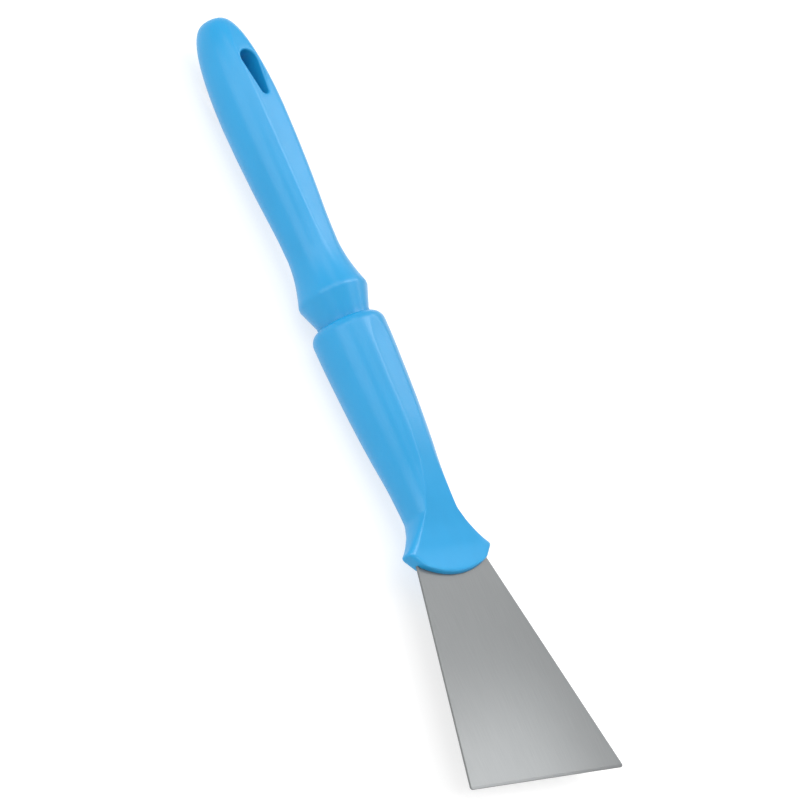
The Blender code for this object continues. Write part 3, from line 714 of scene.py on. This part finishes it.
def grip_places():
    """Where the grip's sections are taken, from just inside its end to the neck's face in the socket."""
    end = []
    for angle in spread(math.asin(TIP_CAP_SHARE), math.pi / 2, DOME_STEPS):
        reach_share = math.sqrt(1 - math.sin(angle) ** (1 / DOME_POWER))
        end.append(blend(BELLY_PLACE, GRIP_LENGTH, reach_share))
    taper = spread(BELLY_PLACE, GRIP_WAIST_PLACE, GRIP_TAPER_STEPS)
    sweep = spread(GRIP_WAIST_PLACE, RIM_PLACE, RIM_STEPS)
    return end + taper[1:] + sweep[1:] + [CONE_PLACE, NECK_PLACE, SEAT_GAP - SEAT_DEPTH]


def grip_core():
    profile = [
        (SPIGOT_LENGTH + CUT_OVERRUN, 0),
        (SPIGOT_LENGTH + CUT_OVERRUN, GRIP_CORE_RADIUS),
        (0, GRIP_CORE_RADIUS),
    ]
    core_end = GRIP_CORE_WALL + SLOT_NARROW_RADIUS - SLOT_NARROW_PLACE
    return turned("grip_core", profile + domed_end(core_end, GRIP_CORE_RADIUS - CORE_DRAFT, -1))


def slot_outline(growth):
    """The slot in plan: two arcs and the two lines that touch both."""
    touch = math.acos((SLOT_WIDE_RADIUS - SLOT_NARROW_RADIUS) / SLOT_LENGTH)
    wide = SLOT_WIDE_RADIUS + growth
    narrow = SLOT_NARROW_RADIUS + growth
    points = []
    for angle in spread(touch, 2 * math.pi - touch, 4 * ARC_STEPS):
        points.append((-SLOT_WIDE_PLACE + wide * math.cos(angle), wide * math.sin(angle)))
    for angle in spread(-touch, touch, 2 * ARC_STEPS):
        points.append((-SLOT_NARROW_PLACE + narrow * math.cos(angle), narrow * math.sin(angle)))
    return points


def slot_rim_ring(side, angle):
    """One ring of the slot's rounded edge, from inside the slot (angle 0) to the flat (a quarter turn)."""
    growth = SLOT_EDGE_RADIUS * (1 - math.cos(angle))
    depth = SLOT_EDGE_RADIUS * (1 - math.sin(angle))
    ring = []
    for x, y in slot_outline(growth):
        radius = grip_radius(-x)
        surface = front_height(y / radius, radius, grip_facet_height(-x), ROUND_POWER)
        ring.append((x, y, side * (surface + SLOT_EDGE_LIFT - depth)))
    return ring


def slot_cut():
    """The hanging slot, with an edge that follows the grip's flats and is rounded into them."""
    outside = BELLY_RADIUS + CUT_OVERRUN
    wide_outline = slot_outline(SLOT_EDGE_RADIUS)
    rings = [[(x, y, -outside) for x, y in wide_outline]]
    rings += [slot_rim_ring(-1, angle) for angle in spread(math.pi / 2, 0.0, EDGE_STEPS)]
    rings += [slot_rim_ring(1, angle) for angle in spread(0.0, math.pi / 2, EDGE_STEPS)]
    rings.append([(x, y, outside) for x, y in wide_outline])
    return skin("hanging_slot", rings)


def make_grip(plastic):
    rings = [section(-place, grip_radius(place), grip_facet_height(place)) for place in grip_places()]
    spigot = [
        (SEAT_DEPTH - SEAT_GAP, THREAD_ROOT_RADIUS),
        (SPIGOT_LENGTH - SPIGOT_CHAMFER, THREAD_ROOT_RADIUS),
        (SPIGOT_LENGTH, SPIGOT_END_RADIUS),
    ]
    rings += [section(place, radius, radius) for place, radius in spigot]
    grip = skin("grip_moulding", rings, tip=(-GRIP_LENGTH, 0, 0))
    combine(grip, thread_ridge("ridge", THREAD_START, THREAD_END, 0.0), "UNION")
    combine(grip, grip_core(), "DIFFERENCE")
    combine(grip, slot_cut(), "DIFFERENCE")
    dress(grip, "grip", "grip_handle", plastic, MOULDING_SHARP_ANGLE)


def new_material(name):
    """A material with its node tree and its shader."""
    material = bpy.data.materials.new(name)
    material.use_nodes = True
    tree = material.node_tree
    shader = tree.nodes["Principled BSDF"]
    return material, tree, shader


def noise(tree, stretch, scale, detail):
    """Noise in the piece's own coordinates, stretched along them."""
    place = tree.nodes.new("ShaderNodeTexCoord")
    mapping = tree.nodes.new("ShaderNodeMapping")
    mapping.inputs["Scale"].default_value = stretch
    texture = tree.nodes.new("ShaderNodeTexNoise")
    texture.inputs["Scale"].default_value = scale
    texture.inputs["Detail"].default_value = detail
    tree.links.new(place.outputs["Object"], mapping.inputs["Vector"])
    tree.links.new(mapping.outputs["Vector"], texture.inputs["Vector"])
    return texture.outputs["Fac"]


def levels(tree, value, low, high):
    """A texture's usual range, brought to another range."""
    rescale = tree.nodes.new("ShaderNodeMapRange")
    rescale.inputs["From Min"].default_value = TEXTURE_LOW
    rescale.inputs["From Max"].default_value = TEXTURE_HIGH
    rescale.inputs["To Min"].default_value = low
    rescale.inputs["To Max"].default_value = high
    tree.links.new(value, rescale.inputs["Value"])
    return rescale.outputs["Result"]


def shaded(tree, value, dark, light):
    """A colour between two, by a value from 0 to 1."""
    mix = tree.nodes.new("ShaderNodeMix")
    mix.data_type = "RGBA"
    mix.inputs["A"].default_value = (*dark, 1.0)
    mix.inputs["B"].default_value = (*light, 1.0)
    tree.links.new(value, mix.inputs["Factor"])
    return mix.outputs["Result"]


def add_bump(tree, shader, heights, strength, depth):
    """Bump from several height textures, one on the other."""
    normal = None
    for height in heights:
        bump = tree.nodes.new("ShaderNodeBump")
        bump.inputs["Strength"].default_value = strength
        bump.inputs["Distance"].default_value = depth
        tree.links.new(height, bump.inputs["Height"])
        if normal is not None:
            tree.links.new(normal, bump.inputs["Normal"])
        normal = bump.outputs["Normal"]
    tree.links.new(normal, shader.inputs["Normal"])


def moulded_plastic(name):
    """Semi-matte moulded plastic: faint flow shading, a fine spark-eroded grain and uneven gloss."""
    material, tree, shader = new_material(name)
    flow = levels(tree, noise(tree, *PLASTIC_FLOW), *FULL_RANGE)
    tree.links.new(shaded(tree, flow, *PLASTIC_COLOURS), shader.inputs["Base Color"])
    gloss = levels(tree, noise(tree, *PLASTIC_GLOSS), *PLASTIC_ROUGHNESS)
    tree.links.new(gloss, shader.inputs["Roughness"])
    shader.inputs["Specular IOR Level"].default_value = PLASTIC_SPECULAR
    heights = [noise(tree, *PLASTIC_GRAIN), noise(tree, *PLASTIC_RIPPLE)]
    add_bump(tree, shader, heights, PLASTIC_BUMP, PLASTIC_BUMP_DEPTH)
    shader.inputs["Subsurface Weight"].default_value = PLASTIC_SCATTER_WEIGHT
    shader.inputs["Subsurface Radius"].default_value = PLASTIC_SCATTER_RADIUS
    shader.inputs["Subsurface Scale"].default_value = PLASTIC_SCATTER_DEPTH
    return material


def satin_steel():
    """Rolled stainless sheet with a satin grain along the tool."""
    material, tree, shader = new_material("satin_steel")
    shader.inputs["Metallic"].default_value = 1.0
    cloud = noise(tree, *STEEL_CLOUD)
    grain = noise(tree, *STEEL_GRAIN)
    tone = levels(tree, grain, *STEEL_TONES)
    tree.links.new(shaded(tree, tone, *STEEL_COLOURS), shader.inputs["Base Color"])
    tree.links.new(levels(tree, cloud, *STEEL_ROUGHNESS), shader.inputs["Roughness"])
    add_bump(tree, shader, [grain], STEEL_BUMP, STEEL_BUMP_DEPTH)
    return material


def grey_plastic():
    material, tree, shader = new_material("plug_plastic")
    flow = levels(tree, noise(tree, *PLUG_FLOW), *FULL_RANGE)
    tree.links.new(shaded(tree, flow, *PLUG_COLOURS), shader.inputs["Base Color"])
    shader.inputs["Roughness"].default_value = PLUG_ROUGHNESS
    add_bump(tree, shader, [noise(tree, *PLUG_GRAIN)], PLUG_BUMP, PLUG_BUMP_DEPTH)
    return material


def finish_plug():
    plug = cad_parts["core_plug"]
    plug.data.materials.clear()
    plug.data.materials.append(grey_plastic())


def make_floor():
    mesh = bmesh.new()
    bmesh.ops.create_grid(mesh, x_segments=FLOOR_CELLS, y_segments=FLOOR_CELLS, size=FLOOR_SIDE / 2)
    floor = finish_mesh("floor", mesh)
    material, tree, shader = new_material("pale_floor")
    cloud = levels(tree, noise(tree, *FLOOR_CLOUD), *FULL_RANGE)
    tree.links.new(shaded(tree, cloud, *FLOOR_COLOURS), shader.inputs["Base Color"])
    shader.inputs["Roughness"].default_value = FLOOR_ROUGHNESS
    shader.inputs["Specular IOR Level"].default_value = FLOOR_SPECULAR
    shader.inputs["Emission Color"].default_value = WHITE
    shader.inputs["Emission Strength"].default_value = FLOOR_GLOW
    floor.data.materials.append(material)


def softbox_offset(azimuth, elevation):
    """From the tool's middle to a softbox, by its angles round from the front and up, in degrees."""
    turn = math.radians(azimuth)
    rise = math.radians(elevation)
    level = math.cos(rise)
    return SOFTBOX_DISTANCE * Vector((level * math.sin(turn), -level * math.cos(turn), math.sin(rise)))


def make_softbox(name, place, target, length, height, power):
    """A rectangle of light at a place, turned towards a target."""
    light = bpy.data.lights.new(name, "AREA")
    light.shape = "RECTANGLE"
    light.size = length
    light.size_y = height
    light.energy = power
    softbox = bpy.data.objects.new(name, light)
    bpy.context.scene.collection.objects.link(softbox)
    softbox.location = place
    softbox.rotation_mode = "QUATERNION"
    softbox.rotation_quaternion = (target - place).to_track_quat("-Z", "Y")
    softbox.visible_camera = False
    return light


def make_world():
    world = bpy.data.worlds.new("studio")
    world.use_nodes = True
    background = world.node_tree.nodes["Background"]
    background.inputs["Color"].default_value = WHITE
    background.inputs["Strength"].default_value = WORLD_STRENGTH
    bpy.context.scene.world = world


def make_camera():
    """A long lens at the photograph's angle, framed so that the mouth falls where the photograph has it."""
    toward = VIEW_DIRECTION.normalized()
    right = (VIEW_RIGHT - toward * VIEW_RIGHT.dot(toward)).normalized()
    up = toward.cross(right)
    data = bpy.data.cameras.new("photo_camera")
    data.sensor_width = SENSOR_MILLIMETRES
    frame_width = PICTURE_SIDE / PIXELS_PER_METRE
    data.lens = data.sensor_width * CAMERA_DISTANCE / frame_width
    data.clip_end = CLIP_DISTANCE
    camera = bpy.data.objects.new("photo_camera", data)
    bpy.context.scene.collection.objects.link(camera)
    centre = MOUTH + right * CENTRE_RIGHT + up * CENTRE_UP
    turn = Matrix((right, up, toward)).transposed().to_4x4()
    camera.matrix_world = Matrix.Translation(centre + toward * CAMERA_DISTANCE) @ turn
    bpy.context.scene.camera = camera


def make_studio():
    make_floor()
    make_world()
    middle = Vector((0, 0, MOUTH.z))
    for name, azimuth, elevation, side, power in SOFTBOXES:
        make_softbox(name, middle + softbox_offset(azimuth, elevation), middle, side, side, power)
    blade_middle = Vector((MOUTH.x + (HANDLE_LENGTH + EDGE_PLACE) / 2, 0, MOUTH.z))
    for name, place, aim, side, beam, power in BLADE_LIGHTS:
        light = make_softbox(name, blade_middle + place, blade_middle + aim, side, side, power)
        light.spread = math.radians(beam)
    make_softbox("strip", MOUTH + STRIP_OFFSET, MOUTH, STRIP_LENGTH, STRIP_HEIGHT, STRIP_POWER)
    bpy.context.scene.view_settings.view_transform = "Standard"


make_camera()
make_studio()
make_blade(satin_steel())
make_handle(moulded_plastic("handle_plastic"))
make_grip(moulded_plastic("grip_plastic"))
finish_plug()
